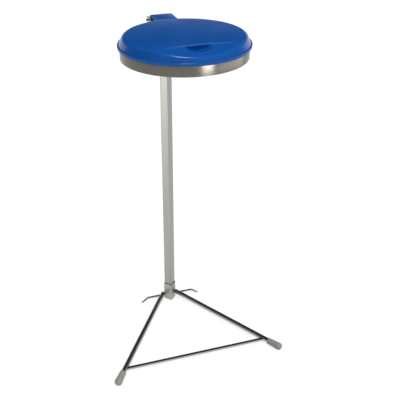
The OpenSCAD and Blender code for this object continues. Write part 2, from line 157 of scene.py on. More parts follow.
camera_data = bpy.data.cameras.new("camera")
camera_data.sensor_width = SENSOR_MM
camera_data.lens = FOCAL_PX / IMAGE_PX * SENSOR_MM
camera_data.shift_x = (IMAGE_PX / 2 - CENTRE_PX[0]) / IMAGE_PX
camera_data.shift_y = (CENTRE_PX[1] - IMAGE_PX / 2) / IMAGE_PX
camera = bpy.data.objects.new("camera", camera_data)
camera.matrix_world = Matrix.Translation(aim + back * VIEW_DISTANCE) @ Matrix(
    (right, up, back)).transposed().to_4x4()
bpy.context.scene.collection.objects.link(camera)
bpy.context.scene.camera = camera
print("lens", round(camera_data.lens, 1), "mm, camera at", [round(v, 3) for v in camera.location])


# %% [markdown]
# The studio gives two kinds of light. Matt surfaces get a sky that is bright overhead
# and a little to the front right, and weak near the ground. It makes the top of the lid
# light, and its lip, its left side and the finger recess dark. The floor and the
# backdrop look plain white to the camera and in every mirrored surface, and the floor
# keeps a faint shadow. In a mirrored surface the backdrop is low, as a paper sweep is:
# above it stands a dark room, which keeps the lid's colour deep and draws the dark line
# along each bright bar. Matt light bounces from a grey floor with a painted pool of light
# on the left, a paler bounce colour that stands in for light falling there. Each edge
# between two tones is a pair of stops: cosines of the angle from the bright side, metres
# from the centre of the painted pool, and for the backdrop the sines of the height above the horizon.

# %% Floor and sky
SKY_OVERHEAD = linear("#FFFFFF")
SKY_LOW = linear("#303030")
SKY_EDGE = (0.1, 1.0)
SKY_STRENGTH = 1.6
SKY_BRIGHT_SIDE = (0.22, -0.42, 0.88)
ROOM_BRIGHT = linear("#D8D8D8")
ROOM_SIDES = linear("#666666")
ROOM_DARK = linear("#0A0B0C")
ROOM_BRIGHT_SIDE = (-0.17, -0.80, -0.57)
ROOM_BRIGHT_EDGE = (0.28, 0.45)
ROOM_SIDES_EDGE = (0.22, 0.55)
BACKDROP_WHITE = (1, 1, 1, 1)
BACKDROP_EDGE = (0.10, 0.17)
# The pale patch in the floor's bounce colour is a painted pool of light, not a lamp.
PAINTED_LIGHT_POOL_CENTRE = (-1.0, 0.1, 0.0)
PAINTED_LIGHT_POOL_EDGE = (0.92, 1.0)
FLOOR_PAINTED_LIGHT = linear("#EEEEEC")
FLOOR_GREY = linear("#BCBCBC")
FLOOR_SHADE = linear("#999999")
FLOOR_GLOW = linear("#E4E4E4")
FLOOR_SIZE = 40.0


def studio_object(name, data, location=(0, 0, 0), toward=None):
    """Adds a thing that belongs to the studio and not to the object."""
    thing = bpy.data.objects.new(name, data)
    thing.location = location
    if toward is not None:
        thing.rotation_euler = (Vector(toward) - Vector(location)).to_track_quat("-Z", "Y").to_euler()
    bpy.context.scene.collection.objects.link(thing)
    return thing


def shows_backdrop(tree, rays, mirrored):
    """1 where a ray shows the white backdrop: from the camera, through glass, or as mirrored."""
    straight = add_node(tree, "ShaderNodeMath", {"operation": "MAXIMUM"}, links={
        0: rays.outputs["Is Camera Ray"], 1: rays.outputs["Is Transmission Ray"]})
    shown = add_node(tree, "ShaderNodeMath", {"operation": "MAXIMUM"}, links={
        0: straight.outputs["Value"], 1: mirrored})
    return shown.outputs["Value"]


def toward_side(tree, direction, side):
    """The cosine of the angle between a direction and a side of the studio."""
    cosine = add_node(tree, "ShaderNodeVectorMath", {"operation": "DOT_PRODUCT"}, {1: side},
                      {0: direction})
    return cosine.outputs["Value"]


def matt_sky(tree, direction):
    """The sky that lights matt surfaces."""
    colour = two_tone(tree, toward_side(tree, direction, SKY_BRIGHT_SIDE),
                      (SKY_EDGE[0], SKY_LOW), (SKY_EDGE[1], SKY_OVERHEAD))
    sky = add_node(tree, "ShaderNodeBackground", inputs={"Strength": SKY_STRENGTH},
                   links={"Color": colour})
    return sky.outputs["Background"]


def dark_room(tree, direction):
    """The room above the backdrop in a mirrored surface, dim at the camera's two sides."""
    front = two_tone(tree, toward_side(tree, direction, ROOM_BRIGHT_SIDE),
                     (ROOM_BRIGHT_EDGE[0], ROOM_DARK), (ROOM_BRIGHT_EDGE[1], ROOM_BRIGHT))
    aside = add_node(tree, "ShaderNodeMath", {"operation": "ABSOLUTE"},
                     links={0: toward_side(tree, direction, level)})
    sides = two_tone(tree, aside.outputs["Value"],
                     (ROOM_SIDES_EDGE[0], ROOM_DARK), (ROOM_SIDES_EDGE[1], ROOM_SIDES))
    lighter = add_node(tree, "ShaderNodeVectorMath", {"operation": "MAXIMUM"},
                       links={0: front, 1: sides})
    room = add_node(tree, "ShaderNodeBackground", links={"Color": lighter.outputs["Vector"]})
    return room.outputs["Background"]


def mirrored_backdrop(tree, direction, rays):
    """1 where a mirrored ray meets the low backdrop."""
    parts = add_node(tree, "ShaderNodeSeparateXYZ", links={"Vector": direction})
    low_part = add_node(tree, "ShaderNodeMapRange", inputs={
        "From Min": BACKDROP_EDGE[1], "From Max": BACKDROP_EDGE[0]}, links={"Value": parts.outputs["Z"]})
    met = add_node(tree, "ShaderNodeMath", {"operation": "MULTIPLY"}, links={
        0: low_part.outputs["Result"], 1: rays.outputs["Is Glossy Ray"]})
    return met.outputs["Value"]


def make_sky():
    """The surroundings: a matt sky, a mirrored room and the white backdrop."""
    world = bpy.data.worlds.new("studio_sky")
    world.use_nodes = True
    tree = world.node_tree
    tree.nodes.clear()
    direction = add_node(tree, "ShaderNodeTexCoord").outputs["Generated"]
    rays = add_node(tree, "ShaderNodeLightPath")
    both = add_node(tree, "ShaderNodeMixShader", links={
        "Fac": rays.outputs["Is Glossy Ray"], 1: matt_sky(tree, direction),
        2: dark_room(tree, direction)})
    backdrop = add_node(tree, "ShaderNodeBackground", inputs={"Color": BACKDROP_WHITE})
    seen = add_node(tree, "ShaderNodeMixShader", links={
        "Fac": shows_backdrop(tree, rays, mirrored_backdrop(tree, direction, rays)),
        1: both.outputs["Shader"], 2: backdrop.outputs["Background"]})
    add_node(tree, "ShaderNodeOutputWorld", links={"Surface": seen.outputs["Shader"]})
    bpy.context.scene.world = world


def make_floor():
    """A floor, white with a faint shadow where it is seen or mirrored, grey to matt light with a painted
    pool of light.
    """
    mesh = bpy.data.meshes.new("floor")
    half = FLOOR_SIZE / 2
    mesh.from_pydata([(-half, -half, 0), (half, -half, 0), (half, half, 0), (-half, half, 0)],
                     [], [(0, 1, 2, 3)])
    floor = studio_object("floor", mesh)
    material, tree, output = new_material("matt_white_floor")
    shade = add_node(tree, "ShaderNodeBsdfDiffuse", inputs={"Color": FLOOR_SHADE})
    white = add_node(tree, "ShaderNodeEmission", inputs={"Color": FLOOR_GLOW, "Strength": 1.0})
    look = add_node(tree, "ShaderNodeAddShader", links={0: shade.outputs["BSDF"],
                                                        1: white.outputs["Emission"]})
    place = add_node(tree, "ShaderNodeTexCoord")
    away = add_node(tree, "ShaderNodeVectorMath", {"operation": "DISTANCE"}, {1: PAINTED_LIGHT_POOL_CENTRE},
                    {0: place.outputs["Object"]})
    # Painted pool of light: inside a circle on the left the floor bounces a paler colour, standing in
    # for light falling there.
    painted_light_pool = two_tone(tree, away.outputs["Value"],
                    (PAINTED_LIGHT_POOL_EDGE[0], FLOOR_PAINTED_LIGHT), (PAINTED_LIGHT_POOL_EDGE[1], FLOOR_GREY))
    bounce = add_node(tree, "ShaderNodeBsdfDiffuse", links={"Color": painted_light_pool})
    rays = add_node(tree, "ShaderNodeLightPath")
    both = add_node(tree, "ShaderNodeMixShader", links={
        "Fac": shows_backdrop(tree, rays, rays.outputs["Is Glossy Ray"]),
        1: bounce.outputs["BSDF"], 2: look.outputs["Shader"]})
    tree.links.new(both.outputs["Shader"], output.inputs["Surface"])
    mesh.materials.append(material)


make_sky()
make_floor()
bpy.context.scene.view_settings.view_transform = "Standard"


# %% [markdown]
# The lid is moulded polypropylene and the foot caps are polyethylene. The moulds were
# lightly stippled, so the gloss is satin and breaks up at close range, and the colour
# pools a shade darker here and there where the melt flowed. Object coordinates are
# metres, so a scale of 1 / size gives one cell of noise per that size.

# %% Plastic materials
PLASTIC_IOR = 1.49
PLASTIC_SPECULAR = 0.3
FLOW_STOPS = (0.3, 0.7)
SMOOTHER = 0.05
ROUGHER = 0.06
STIPPLE_MM = 0.2


def moulded_plastic(name, body, shade, roughness, grain_mm, grain_depth, flow_mm):
    """Moulded plastic: a stippled skin over a faint flow pattern."""
    material, tree, output = new_material(name)
    place = add_node(tree, "ShaderNodeTexCoord")
    flow = add_node(tree, "ShaderNodeTexNoise", inputs={"Scale": 1 / (flow_mm * MM), "Detail": 3},
                    links={"Vector": place.outputs["Object"]})
    tint = two_tone(tree, flow.outputs["Fac"],
                    (FLOW_STOPS[0], linear(shade)), (FLOW_STOPS[1], linear(body)))
    grain = add_node(tree, "ShaderNodeTexNoise", inputs={"Scale": 1 / (grain_mm * MM), "Detail": 2},
                     links={"Vector": place.outputs["Object"]})
    gloss = add_node(tree, "ShaderNodeMapRange", inputs={"To Min": roughness - SMOOTHER,
                                                         "To Max": roughness + ROUGHER},
                     links={"Value": flow.outputs["Fac"]})
    bump = add_node(tree, "ShaderNodeBump",
                    inputs={"Strength": grain_depth, "Distance": STIPPLE_MM * MM},
                    links={"Height": grain.outputs["Fac"]})
    skin = add_node(tree, "ShaderNodeBsdfPrincipled",
                    inputs={"IOR": PLASTIC_IOR, "Specular IOR Level": PLASTIC_SPECULAR},
                    links={"Base Color": tint, "Roughness": gloss.outputs["Result"],
                           "Normal": bump.outputs["Normal"]})
    tree.links.new(skin.outputs["BSDF"], output.inputs["Surface"])
    return material


blue_polypropylene = moulded_plastic("moulded_polypropylene_blue", "#0C58AE", "#0A54A6",
                                     0.19, 0.9, 0.12, 60)
grey_polyethylene = moulded_plastic("moulded_polyethylene_grey", "#9B9E95", "#8F928A",
                                    0.42, 0.7, 0.2, 12)


# %% [markdown]
# Four finishes of steel show. The post, its sleeves and the bracket are galvanised, a
# dull pale grey with fine lengthwise lines from the mill. The base bars and the hoop are
# bright zinc plated, nearly a mirror. The ring is cold rolled strip with rolling lines
# along its length, so the lines run round the ring. Pins, nuts, screws and welds are
# dull zinc. One recipe makes all four: noise stretched along a direction.

# %% Steel materials
LINE_STOPS = (0.25, 0.75)
LINE_MM = 0.05
ROLLED_ANISOTROPY = 0.85
ROLLED_TURN = 0.25


def lined_metal(name, light, dark, roughness, spread, stretch, depth, rolled=False):
    """Metal with fine lines. stretch is the size in millimetres of a line along X, Y and Z.

    Rolled strip has its lines level, so its highlights spread upright.
    """
    material, tree, output = new_material(name)
    place = add_node(tree, "ShaderNodeTexCoord")
    scaled = add_node(tree, "ShaderNodeMapping",
                      inputs={"Scale": [1 / (size * MM) for size in stretch]},
                      links={"Vector": place.outputs["Object"]})
    lines = add_node(tree, "ShaderNodeTexNoise", inputs={"Scale": 1.0, "Detail": 4},
                     links={"Vector": scaled.outputs["Vector"]})
    tint = two_tone(tree, lines.outputs["Fac"],
                    (LINE_STOPS[0], linear(dark)), (LINE_STOPS[1], linear(light)))
    gloss = add_node(tree, "ShaderNodeMapRange", inputs={"To Min": roughness - spread,
                                                         "To Max": roughness + spread},
                     links={"Value": lines.outputs["Fac"]})
    bump = add_node(tree, "ShaderNodeBump", inputs={"Strength": depth, "Distance": LINE_MM * MM},
                    links={"Height": lines.outputs["Fac"]})
    skin = add_node(tree, "ShaderNodeBsdfPrincipled", inputs={"Metallic": 1.0},
                    links={"Base Color": tint, "Roughness": gloss.outputs["Result"],
                           "Normal": bump.outputs["Normal"]})
    if rolled:
        normal = add_node(tree, "ShaderNodeNewGeometry")
        along = add_node(tree, "ShaderNodeVectorMath", {"operation": "CROSS_PRODUCT"}, {1: (0, 0, 1)},
                         {0: normal.outputs["Normal"]})
        skin.inputs["Anisotropic"].default_value = ROLLED_ANISOTROPY
        skin.inputs["Anisotropic Rotation"].default_value = ROLLED_TURN
        tree.links.new(along.outputs["Vector"], skin.inputs["Tangent"])
    tree.links.new(skin.outputs["BSDF"], output.inputs["Surface"])
    return material


galvanised_tube = lined_metal("galvanised_steel_tube", "#ACADA7", "#9A9B95", 0.42, 0.08,
                              (2.2, 2.2, 260), 0.25)
bright_zinc = lined_metal("bright_zinc_plated_bar", "#B6B8BA", "#A6A8AA", 0.17, 0.04,
                          (6, 6, 6), 0.05)
rolled_strip = lined_metal("cold_rolled_steel_strip", "#736F69", "#65615B", 0.34, 0.05,
                           (90, 90, 0.9), 0.3, rolled=True)
zinc_fastener = lined_metal("zinc_plated_fastener", "#B4B4AE", "#94948E", 0.34, 0.08,
                            (1.5, 1.5, 1.5), 0.15)


# %% [markdown]
# The steel pieces and the foot caps keep the exact form that the construction model
# gives them. Its triangles are loose, which makes hard facets, so each piece is a merged
# copy of its CAD node. Most get a small bevel on their edges, in millimetres, that
# catches the light as a deburred edge does, and curved faces are shaded smooth. The copy
# stands for the node.

# %% Dress the steel and the caps
FINISHES = {
    "post": ("galvanised_steel", galvanised_tube, 0.0),
    "base_sleeve": ("galvanised_steel", galvanised_tube, 0.3),
    "head_sleeve": ("galvanised_steel", galvanised_tube, 0.3),
    "hinge_bracket": ("galvanised_steel", galvanised_tube, 0.4),
    "leg_left": ("bright_zinc_bar", bright_zinc, 0.2),
    "leg_right": ("bright_zinc_bar", bright_zinc, 0.2),
    "front_crossbar": ("bright_zinc_bar", bright_zinc, 0.0),
    "rear_bar": ("bright_zinc_bar", bright_zinc, 0.2),
    "clamp_hoop": ("bright_zinc_bar", bright_zinc, 0.0),
    "ring_band": ("brushed_steel_strip", rolled_strip, 0.25),
    "hinge_pin": ("zinc_fastener", zinc_fastener, 0.4),
    "hinge_washers": ("zinc_fastener", zinc_fastener, 0.15),
    "split_pin": ("zinc_fastener", zinc_fastener, 0.0),
    "weld_nuts": ("zinc_fastener", zinc_fastener, 0.4),
    "clamp_screws": ("zinc_fastener", zinc_fastener, 0.4),
    "foot_cap_left": ("grey_cap_plastic", grey_polyethylene, 0.4),
    "foot_cap_right": ("grey_cap_plastic", grey_polyethylene, 0.4),
}
MERGE_DISTANCE = 0.002 * MM
FLAT_ANGLE = math.radians(0.5)
BEVEL_ANGLE = math.radians(40)
SMOOTH_ANGLE = math.radians(32)


def apply_modifiers(piece):
    """Turns a piece with live modifiers into a plain mesh."""
    graph = bpy.context.evaluated_depsgraph_get()
    mesh = bpy.data.meshes.new_from_object(piece.evaluated_get(graph))
    piece.modifiers.clear()
    piece.data = mesh


def shade_by_angle(mesh):
    """Smooth faces, with the edges sharper than SMOOTH_ANGLE kept crisp."""
    mesh.shade_smooth()
    mesh.set_sharp_from_angle(angle=SMOOTH_ANGLE)


def dress_node(node_name, material, bevel_mm):
    """A finished copy of a CAD node, which stands for it."""
    node = frame["nodes"][node_name]
    mesh = node.data.copy()
    work = bmesh.new()
    work.from_mesh(mesh)
    bmesh.ops.remove_doubles(work, verts=work.verts, dist=MERGE_DISTANCE)
    bmesh.ops.dissolve_limit(work, angle_limit=FLAT_ANGLE, verts=work.verts, edges=work.edges)
    work.to_mesh(mesh)
    work.free()
    mesh.materials.clear()
    mesh.materials.append(material)
    piece = new_piece(node_name + "_finished", mesh)
    if bevel_mm:
        bevel = piece.modifiers.new("edge", "BEVEL")
        bevel.width = bevel_mm * MM
        bevel.segments = 2
        bevel.limit_method = "ANGLE"
        bevel.angle_limit = BEVEL_ANGLE
        apply_modifiers(piece)
    shade_by_angle(piece.data)
    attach(piece, node["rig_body"])
    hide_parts(node_name)
    return piece


for node_name, (slot_name, material, bevel_mm) in FINISHES.items():
    made = dress_node(node_name, material, bevel_mm)
    print(made.name, len(made.data.polygons), "faces")


# %% [markdown]
# The base and the ring are welded, and a weld shows as a row of small overlapping
# ripples. Rays cast along a bar find where it meets the piece it is welded to, which
# gives the true line of the seam. A node group then walks along every seam and sets
# one ripple at each step, so the spacing and the size are two numbers to change.

# %% Weld ripples
RIPPLE_STEP = 1.3
RIPPLE_R = 1.1
RIPPLE_SPREAD = 0.15
RIPPLE_DETAIL = 2
RIPPLE_SEED = 4
SEAM_POINTS = 24
CROSSBAR_START = 50.0
REAR_BAR_START = -1.0
REAR_BAR_CLEARANCE = 0.4
RING_SEAM_X = 2.4
RING_SEAM_OUT = 0.2
RING_SEAM_SHORT = 2.0


def bar_seam(bar_name, target_name, side, start_in, clearance):
    """Points where a bar along X meets a piece.

    A circle of rays runs along the bar, wider than it by clearance, past a bore that it
    runs through. The rays start at start_in from the bar's end and run outwards. Below
    zero they start beyond the end and run inwards.
    """
    low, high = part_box(bar_name)
    radius = (high.y - low.y) / 2
    end = Vector((high.x if side > 0 else low.x, high.y - radius, high.z - radius))
    start = end - Vector((side * start_in, 0, 0))
    heading = Vector((side if start_in > 0 else -side, 0, 0))
    tree = BVHTree.FromObject(bpy.data.objects[target_name], bpy.context.evaluated_depsgraph_get())
    points = []
    for k in range(SEAM_POINTS):
        turn = 2 * math.pi * k / SEAM_POINTS
        around = Vector((0, math.cos(turn), math.sin(turn)))
        hit = tree.ray_cast(start + around * (radius + clearance), heading)[0]
        if hit is not None:
            points.append(hit)
    return points + points[:1]


def bar_seams():
    """The seams of the crossbar and the rear bar on both legs."""
    found = []
    for bar_name, start_in, clearance in (("front_crossbar", CROSSBAR_START, 0.0),
                                          ("rear_bar", REAR_BAR_START, REAR_BAR_CLEARANCE)):
        for target_name, side in (("leg_left_finished", -1), ("leg_right_finished", 1)):
            found.append(bar_seam(bar_name, target_name, side, start_in * MM, clearance * MM))
    return found


def ring_seams():
    """The two upright lines where the ring's back lies on the nose of the head sleeve."""
    low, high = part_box("ring_band")
    y = high.y + RING_SEAM_OUT * MM
    ends = (low.z + RING_SEAM_SHORT * MM, high.z - RING_SEAM_SHORT * MM)
    return [[Vector((x * MM, y, z)) for z in ends] for x in (-RING_SEAM_X, RING_SEAM_X)]


def ripple_tree(material):
    """A node group that sets ripples along the edges of a mesh."""
    tree = bpy.data.node_groups.new("weld_ripples", "GeometryNodeTree")
    tree.interface.new_socket("Seams", in_out="INPUT", socket_type="NodeSocketGeometry")
    for name, kind in (("Spacing", "NodeSocketFloat"), ("Radius", "NodeSocketFloat"),
                       ("Seed", "NodeSocketInt")):
        tree.interface.new_socket(name, in_out="INPUT", socket_type=kind)
    tree.interface.new_socket("Ripples", in_out="OUTPUT", socket_type="NodeSocketGeometry")
    given = add_node(tree, "NodeGroupInput")
    path = add_node(tree, "GeometryNodeMeshToCurve", links={"Mesh": given.outputs["Seams"]})
    steps = add_node(tree, "GeometryNodeResampleCurve", {"mode": "LENGTH"},
                     links={"Curve": path.outputs["Curve"], "Length": given.outputs["Spacing"]})
    ripple = add_node(tree, "GeometryNodeMeshIcoSphere", inputs={"Subdivisions": RIPPLE_DETAIL},
                      links={"Radius": given.outputs["Radius"]})
    size = add_node(tree, "FunctionNodeRandomValue", {"data_type": "FLOAT"},
                    {2: 1 - RIPPLE_SPREAD, 3: 1 + RIPPLE_SPREAD}, {"Seed": given.outputs["Seed"]})
    row = add_node(tree, "GeometryNodeInstanceOnPoints", links={
        "Points": steps.outputs["Curve"], "Instance": ripple.outputs["Mesh"],
        "Scale": size.outputs[1]})
    solid = add_node(tree, "GeometryNodeRealizeInstances",
                     links={"Geometry": row.outputs["Instances"]})
    coated = add_node(tree, "GeometryNodeSetMaterial", inputs={"Material": material},
                      links={"Geometry": solid.outputs["Geometry"]})
    add_node(tree, "NodeGroupOutput", links={"Ripples": coated.outputs["Geometry"]})
    return tree


def seam_mesh(seams):
    """All seams as chains of edges in one mesh."""
    mesh = bpy.data.meshes.new("weld_seams")
    points, edges = [], []
    for seam in seams:
        first = len(points)
        points += [tuple(point) for point in seam]
        edges += [(first + k, first + k + 1) for k in range(len(seam) - 1)]
    mesh.from_pydata(points, edges, [])
    return mesh


seams = bar_seams() + ring_seams()
welds = new_piece("weld_ripples", seam_mesh(seams))
ripples = welds.modifiers.new("ripples", "NODES")
ripples.node_group = ripple_tree(zinc_fastener)
wanted = {"Spacing": RIPPLE_STEP * MM, "Radius": RIPPLE_R * MM, "Seed": RIPPLE_SEED}
for item in ripples.node_group.interface.items_tree:
    if item.in_out == "INPUT" and item.name in wanted:
        ripples[item.identifier] = wanted[item.name]
apply_modifiers(welds)
shade_by_angle(welds.data)
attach(welds, "stand")
print("welds", [len(seam) for seam in seams], "points;", len(welds.data.polygons), "faces")


# %% [markdown]
# The lid is one moulding. Seen from above it is a round dish turned upside down: a lip,
# a narrow ledge, a leaning wall, a rounded shoulder and a plateau with a slight crown.
# Its outline follows a rule, so the surface is a grid of rings and spokes whose height
# is computed: the front facet and the finger recess lower the plateau, and a rounded
# minimum blends them in, as the radius of a mould does. The rings run straight along
# the crease, so that it and the recess get clean edges.

# %% Lid sizes
ring_low, ring_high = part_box("ring_band")
lid_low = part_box("lid")[0]
pin_low, pin_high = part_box("hinge_pin")
lid_centre = Vector(((ring_low.x + ring_high.x) / 2, (ring_low.y + ring_high.y) / 2, lid_low.z))
LID_R = 193.0
LID_WALL = 2.5
LIP_H = 8.5
LIP_LAP = 5.7
LEDGE_W = 5.5
EDGE_H = 33.0
WALL_LEAN = 5.0
SHOULDER_R = 14.0
CROWN_H = 3.0
CREASE_Y = 116.0
FACET_SLOPE = math.tan(math.radians(12))
RECESS_W = 76.0
RECESS_DEPTH = 13.0
RECESS_UNDER = math.tan(math.radians(30))
RECESS_Y = CREASE_Y + 5.0
RIB_R = 172.0
RIB_T = 2.5
RIB_Z = 6.0
FOOT_RISE = 1.5
EDGE_BLEND = 1.6
PLATEAU_R = 164.0

wall_r = LID_R - LEDGE_W
flat_r = wall_r - WALL_LEAN - SHOULDER_R
crease_z = EDGE_H + CROWN_H * (1 - (CREASE_Y / flat_r) ** 2)
print("lid centre", [round(v, 4) for v in lid_centre], "crease height", round(crease_z, 2), "mm")


# %% [markdown]
# The height of the top follows from the place: the crown, then the facet in front of the
# crease, then the recess. The recess begins over a short width behind its edge, and what
# it sinks also moves back, which carries its rear wall in under the crease.

# %% Height of the lid's top
RECESS_BEGINS_OVER = 1.6
UNDERCUT_FADES_OVER = 24.0


def rounded_min(a, b, radius):
    """The lower of two heights, with the corner between them rounded."""
    gap = max(radius - abs(a - b), 0.0)
    return min(a, b) - gap * gap / (4 * radius)


def plateau_height(r, x, y):
    """Crown and front facet at a point of the plateau, y counted towards the front."""
    crown = EDGE_H + CROWN_H * (1 - (r / flat_r) ** 2)
    return rounded_min(crown, crease_z - (y - CREASE_Y) * FACET_SLOPE, EDGE_BLEND)


def sunk_into_recess(x, y, z, inset):
    """A point of the plateau after the finger recess, whose back runs in under the crease."""
    half = RECESS_W / 2
    ball_r = (half * half + RECESS_DEPTH * RECESS_DEPTH) / (2 * RECESS_DEPTH)
    ahead = y - RECESS_Y
    reach = (ball_r + inset) ** 2 - x * x - ahead * ahead
    back = (ahead + inset + RECESS_BEGINS_OVER / 2) / RECESS_BEGINS_OVER
    if reach <= 0 or back <= 0:
        return x, y, z
    rim = crease_z - (y - CREASE_Y) * FACET_SLOPE
    scoop = rounded_min(z, rim + ball_r - RECESS_DEPTH - math.sqrt(reach), EDGE_BLEND)
    share = min(back, 1.0)
    sunk = z + (scoop - z) * share * share * (3 - 2 * share)
    near = max(1 - (ahead + inset) / UNDERCUT_FADES_OVER, 0.0)
    return x, y - (z - sunk) * RECESS_UNDER * min(near, 1.0) ** 2, sunk


# %% [markdown]
# Each spoke has its own section. Its wall and its top are straight near the edge, so a
# true arc can join them. At the front, where the facet comes down low, the arc is
# lower and tilts with the facet. The inside of the wall is the same section moved
# inwards, with the locating rib standing down from it.

# %% Section of one spoke
LIP_BEVEL = 0.7
LIP_ROUND = 2.0
LIP_ARC_END = math.radians(86)
LIP_STEPS = 5
LEDGE_FILLET = ((1.6, 0.05), (0.7, 0.4))
SHOULDER_STEPS = 12
SHOULDER_BLEND = 3.0
TILT_STARTS = 1.5
TILT_GROWS_OVER = 5.0
CENTRE_TRIES = 4
RIB_BEVEL = 0.6
RIB_ROOT_STEP = 6
RIB_OUTER_ROOT = 3.0
RIB_INNER_ROOT = 0.5
RIB_CLEARANCE = 0.4


def arc(centre, radius, start, stop, steps):
    """Points of an arc in the section, angles in radians from the horizontal."""
    turns = [start + (stop - start) * i / steps for i in range(steps + 1)]
    return [(centre[0] + radius * math.cos(t), centre[1] + radius * math.sin(t)) for t in turns]


def shoulder_arc(front, inset):
    """Radius and height of the wall's foot, and the shoulder's arc; front is the share of -Y."""
    foot = (wall_r, LIP_H + FOOT_RISE)
    down, out = foot[1] - (EDGE_H - SHOULDER_R), foot[0] - flat_r
    turn = math.atan2(down, out) + math.acos(SHOULDER_R / math.hypot(out, down))
    facet_z = crease_z - (flat_r * front - CREASE_Y) * FACET_SLOPE
    share = min(max((EDGE_H + TILT_STARTS - facet_z) / TILT_GROWS_OVER, 0.0), 1.0)
    share = share * share * (3 - 2 * share)
    tilt = math.atan(FACET_SLOPE * front) * share
    top_z = rounded_min(EDGE_H, facet_z, SHOULDER_BLEND)
    wall_d = foot[0] * math.cos(turn) + foot[1] * math.sin(turn) - SHOULDER_R
    centre_r = flat_r
    for attempt in range(CENTRE_TRIES):
        centre_z = top_z - (centre_r - flat_r) * math.tan(tilt) - SHOULDER_R / math.cos(tilt)
        centre_r = (wall_d - centre_z * math.sin(turn)) / math.cos(turn)
    points = arc((centre_r, centre_z), SHOULDER_R - inset, turn, math.pi / 2 - tilt,
                 SHOULDER_STEPS)
    foot_r = foot[0] - inset / math.cos(turn)
    return foot_r, foot[1], points


def spoke_section(a):
    """Outer and inner half sections along the spoke at angle a from the front.

    The last value is the small step in height from the shoulder to the plateau.
    """
    front = max(math.cos(a), 0.0)
    foot_r, foot_z, shoulder = shoulder_arc(front, 0)
    lip = [(LID_R - LID_WALL, 0.0), (LID_R - LIP_BEVEL, 0.0), (LID_R, LIP_BEVEL)]
    lip += arc((LID_R - LIP_ROUND, LIP_H - LIP_ROUND), LIP_ROUND, 0, LIP_ARC_END, LIP_STEPS)
    lip += [(wall_r + out, LIP_H + rise) for out, rise in LEDGE_FILLET] + [(foot_r, foot_z)]
    outer = lip + shoulder
    end_r, end_z = shoulder[-1]
    step = end_z - plateau_height(end_r, 0, end_r * front)
    foot_r, foot_z, shoulder = shoulder_arc(front, LID_WALL)
    last_z = shoulder[-1][1]
    rib_in = RIB_R - RIB_T
    rib = [(RIB_R, min(shoulder[RIB_ROOT_STEP][1], last_z + RIB_OUTER_ROOT)),
           (RIB_R, RIB_Z + RIB_BEVEL), (RIB_R - RIB_BEVEL, RIB_Z), (rib_in + RIB_BEVEL, RIB_Z),
           (rib_in, RIB_Z + RIB_BEVEL), (rib_in, last_z - RIB_INNER_ROOT)]
    shoulder = [(max(r, RIB_R + RIB_CLEARANCE), z) for r, z in shoulder[:RIB_ROOT_STEP + 1]]
    inner = [(LID_R - LID_WALL, LIP_LAP), (foot_r, LIP_LAP)] + shoulder + rib
    return outer, inner, step


# %% [markdown]
# Inside the shoulder the points lie on rings about the centre. The rings are far apart on
# the plateau and close together over the crease and the recess. Across the front they run
# straight, beside the crease, up to a limit on each side.

# %% Rings of the plateau
WIDE_STEP = 2.4
CREASE_CLEAR = 4.0
CREASE_APPROACH = (3.4, 2.2, 1.4)
CREASE_HALF = 1.0
CREASE_STEP = 0.2
CREASE_RINGS = 11
RECESS_FIRST = 1.6
RECESS_STEP = 0.7
RECESS_RINGS = 13
CENTRE_RINGS = 16
STRAIGHT_UP_TO = math.radians(37)


def plateau_rings(start, edge):
    """Ring radii from start to the centre; edge is the line between crease and recess."""
    wide = int((start - edge - CREASE_CLEAR) / WIDE_STEP)
    rings = [start - WIDE_STEP * i for i in range(wide)] + [edge + gap for gap in CREASE_APPROACH]
    rings += [edge + CREASE_HALF - CREASE_STEP * i for i in range(CREASE_RINGS)]
    rings += [edge - RECESS_FIRST - RECESS_STEP * i for i in range(RECESS_RINGS)]
    last = rings[-1]
    return rings + [last * (1 - i / CENTRE_RINGS) for i in range(1, CENTRE_RINGS)]


def straightened(radius, a, start, bend):
    """Radius of a ring along spoke a: straight across the front inside the ring at bend."""
    stretch = 1 / math.cos(min(abs(a), STRAIGHT_UP_TO))
    if radius <= bend:
        return radius * stretch
    return start - (start - radius) * (start - bend * stretch) / (start - bend)


# %% [markdown]
# One loop lays the sections out around the lid. The outside and the inside of the
# moulding are one closed skin that meets at the foot of the lip. The spokes are given
# as steps in degrees and how many of each, from the front to the back.

# %% Build the dish
SPOKES = ((0.45, 45), (1.35, 21), (2.92, 45))
STEP_FADES_FROM = 140.0
STEP_FADES_OVER = 28.0


def spoke_angles():
    """Angles from the front, fine over the recess and coarser towards the back."""
    side, reached = [], 0.0
    for step, count in SPOKES:
        side += [reached + step * i for i in range(count)]
        reached += step * count
    half = [math.radians(a) for a in side]
    return half + [-a for a in reversed(half[1:])]


def skin_columns(a):
    """Points of the outer and the inner skin along one spoke, from the lip to the centre."""
    outer, inner, step = spoke_section(a)
    columns = []
    for section, inset, edge in ((outer, 0, RECESS_Y), (inner, LID_WALL, RECESS_Y - LID_WALL)):
        points = [(r * math.sin(a), r * math.cos(a), z) for r, z in section]
        for ring in plateau_rings(PLATEAU_R, edge):
            r = straightened(ring, a, PLATEAU_R, edge + CREASE_CLEAR)
            x, y = r * math.sin(a), r * math.cos(a)
            z = plateau_height(r, x, y) - inset
            fade = max((r - STEP_FADES_FROM) / STEP_FADES_OVER, 0.0)
            points.append(sunk_into_recess(x, y, z + step * fade, inset))
        columns.append(points)
    return columns


